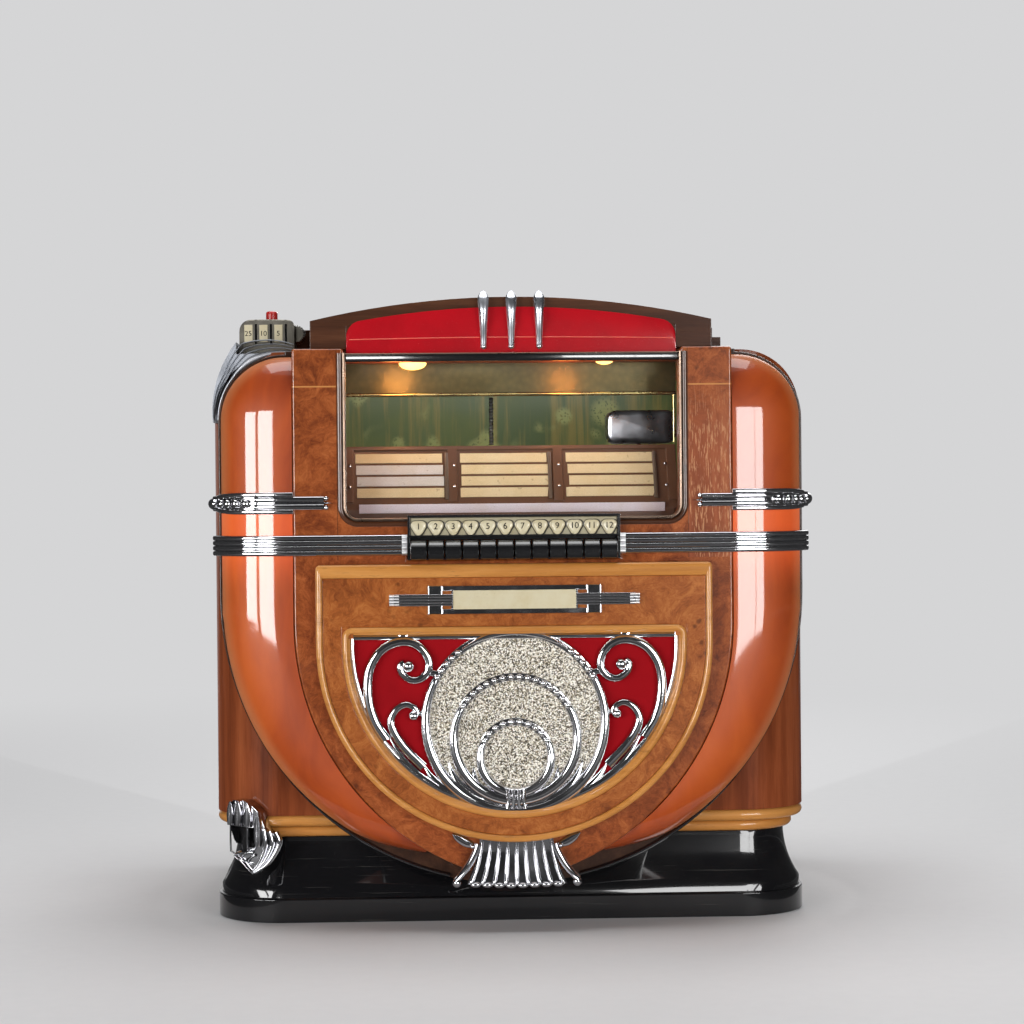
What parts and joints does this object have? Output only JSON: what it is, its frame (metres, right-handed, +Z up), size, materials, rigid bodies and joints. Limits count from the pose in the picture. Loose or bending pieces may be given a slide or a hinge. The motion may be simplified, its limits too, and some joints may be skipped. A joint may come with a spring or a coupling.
{
  "type": "countertop jukebox",
  "caption": "Coin-operated countertop jukebox: walnut case with orange plastic pilasters, chrome grille, keys, lid and record changer.",
  "frame": {"origin": "middle of the overall box, on the surface that the plinth stands on", "axes": "+X to the right seen from the front, +Y to the back, +Z up"},
  "size_m": [0.556, 0.444, 0.578],
  "materials": {
    "black_lacquer": "gloss",
    "light_wood": "satin lacquer",
    "walnut": "gloss lacquer",
    "burl_veneer": "gloss lacquer",
    "dark_wood": "gloss lacquer",
    "orange_plastic": "polished",
    "red_plastic": "polished",
    "chrome": "polished",
    "pewter_casting": "satin",
    "grey_casting": "satin",
    "ivory_plastic": "satin",
    "black_plastic": "gloss",
    "glass": "clear",
    "card": "matt",
    "red_cloth": "woven",
    "glitter_cloth": "metallic weave",
    "steel": "brushed",
    "brown_panel": "satin",
    "trim_metal": "aged",
    "shellac": "gloss",
    "grey_paint": "hammered",
    "green_board": "mottled",
    "plywood": "matt"
  },
  "bodies": {
    "cabinet": {"base_plinth": "black_lacquer", "base_moulding": "light_wood", "cabinet_floor": "plywood", "side_panel_left": "walnut", "side_panel_right": "walnut", "top_deck": "walnut", "shield_board": "dark_wood", "burl_front": "burl_veneer", "pilaster_left": "orange_plastic", "pilaster_right": "orange_plastic", "grille_panel": "burl_veneer", "grille_edging": "light_wood", "grille_casting": "chrome", "grille_cloth": "red_cloth", "glitter_disc": "glitter_cloth", "foot_casting": "chrome", "nameplate_frame": "chrome", "nameplate_insert": "ivory_plastic", "chrome_bands": "chrome", "chrome_bumpers": "chrome", "window_trim": "trim_metal", "window_glass": "glass", "title_panel": "brown_panel", "card_strips": "card", "key_housing": "black_plastic", "number_badges": "ivory_plastic", "key_shaft": "steel", "coin_head": "pewter_casting", "coin_casting": "grey_casting", "coin_return_cup": "chrome", "coin_chute": "steel", "cash_box": "grey_paint", "hinge_pins": "steel", "back_frame": "plywood", "mech_frame": "grey_paint", "record_stack": "shellac", "speaker": "grey_paint", "amplifier": "grey_paint", "backdrop_lamps": "green_board"},
    "lid": {"lid_frame": "dark_wood", "lid_red_panel": "red_plastic", "lid_fins": "chrome"},
    "coin_button": {"coin_return_button": "red_plastic"},
    "door": {"back_door": "plywood"},
    "tray": {"swing_tray": "shellac"},
    "lift": {"elevator": "steel"},
    "platter": {"turntable": "grey_paint"},
    "arm": {"tone_arm": "chrome"},
    "key_01": {"selector_key_01": "black_plastic"},
    "key_02": {"selector_key_02": "black_plastic"},
    "key_03": {"selector_key_03": "black_plastic"},
    "key_04": {"selector_key_04": "black_plastic"},
    "key_05": {"selector_key_05": "black_plastic"},
    "key_06": {"selector_key_06": "black_plastic"},
    "key_07": {"selector_key_07": "black_plastic"},
    "key_08": {"selector_key_08": "black_plastic"},
    "key_09": {"selector_key_09": "black_plastic"},
    "key_10": {"selector_key_10": "black_plastic"},
    "key_11": {"selector_key_11": "black_plastic"},
    "key_12": {"selector_key_12": "black_plastic"}
  },
  "joints": [
    {"name": "lid_hinge", "type": "hinge", "parent": "cabinet", "child": "lid", "pos_m": [0, 0.194, 0.5315], "axis": [-1, 0, 0], "range_deg": [0, 70]},
    {"name": "door_hinge", "type": "hinge", "parent": "cabinet", "child": "door", "pos_m": [-0.19, 0.2165, 0.3], "axis": [0, 0, 1], "range_deg": [0, 95]},
    {"name": "coin_return_press", "type": "slide", "parent": "cabinet", "child": "coin_button", "axis": [0, 0, -1], "range_m": [0, 0.006], "stiffness_N_per_m": 300},
    {"name": "tray_swing", "type": "hinge", "parent": "cabinet", "child": "tray", "pos_m": [0, 0.19, 0.42], "axis": [0, 0, 1], "range_deg": [0, 90]},
    {"name": "turntable_lift", "type": "slide", "parent": "cabinet", "child": "lift", "axis": [0, 0, 1], "range_m": [0, 0.132]},
    {"name": "turntable_spin", "type": "hinge", "parent": "lift", "child": "platter", "pos_m": [0.1285, 0.0615, 0.285], "axis": [0, 0, 1], "continuous": true},
    {"name": "tone_arm_swing", "type": "hinge", "parent": "cabinet", "child": "arm", "pos_m": [0.215, 0.175, 0.452], "axis": [0, 0, 1], "range_deg": [-12, 12]},
    {"name": "key_01_press", "type": "hinge", "parent": "cabinet", "child": "key_01", "pos_m": [-0.08553, -0.19, 0.345], "axis": [1, 0, 0], "range_deg": [-5, 5]},
    {"name": "key_02_press", "type": "hinge", "parent": "cabinet", "child": "key_02", "pos_m": [-0.06997, -0.19, 0.345], "axis": [1, 0, 0], "range_deg": [-5, 5]},
    {"name": "key_03_press", "type": "hinge", "parent": "cabinet", "child": "key_03", "pos_m": [-0.05443, -0.19, 0.345], "axis": [1, 0, 0], "range_deg": [-5, 5]},
    {"name": "key_04_press", "type": "hinge", "parent": "cabinet", "child": "key_04", "pos_m": [-0.03887, -0.19, 0.345], "axis": [1, 0, 0], "range_deg": [-5, 5]},
    {"name": "key_05_press", "type": "hinge", "parent": "cabinet", "child": "key_05", "pos_m": [-0.02332, -0.19, 0.345], "axis": [1, 0, 0], "range_deg": [-5, 5]},
    {"name": "key_06_press", "type": "hinge", "parent": "cabinet", "child": "key_06", "pos_m": [-0.00777, -0.19, 0.345], "axis": [1, 0, 0], "range_deg": [-5, 5]},
    {"name": "key_07_press", "type": "hinge", "parent": "cabinet", "child": "key_07", "pos_m": [0.00777, -0.19, 0.345], "axis": [1, 0, 0], "range_deg": [-5, 5]},
    {"name": "key_08_press", "type": "hinge", "parent": "cabinet", "child": "key_08", "pos_m": [0.02332, -0.19, 0.345], "axis": [1, 0, 0], "range_deg": [-5, 5]},
    {"name": "key_09_press", "type": "hinge", "parent": "cabinet", "child": "key_09", "pos_m": [0.03887, -0.19, 0.345], "axis": [1, 0, 0], "range_deg": [-5, 5]},
    {"name": "key_10_press", "type": "hinge", "parent": "cabinet", "child": "key_10", "pos_m": [0.05443, -0.19, 0.345], "axis": [1, 0, 0], "range_deg": [-5, 5]},
    {"name": "key_11_press", "type": "hinge", "parent": "cabinet", "child": "key_11", "pos_m": [0.06997, -0.19, 0.345], "axis": [1, 0, 0], "range_deg": [-5, 5]},
    {"name": "key_12_press", "type": "hinge", "parent": "cabinet", "child": "key_12", "pos_m": [0.08553, -0.19, 0.345], "axis": [1, 0, 0], "range_deg": [-5, 5]}
  ]
}
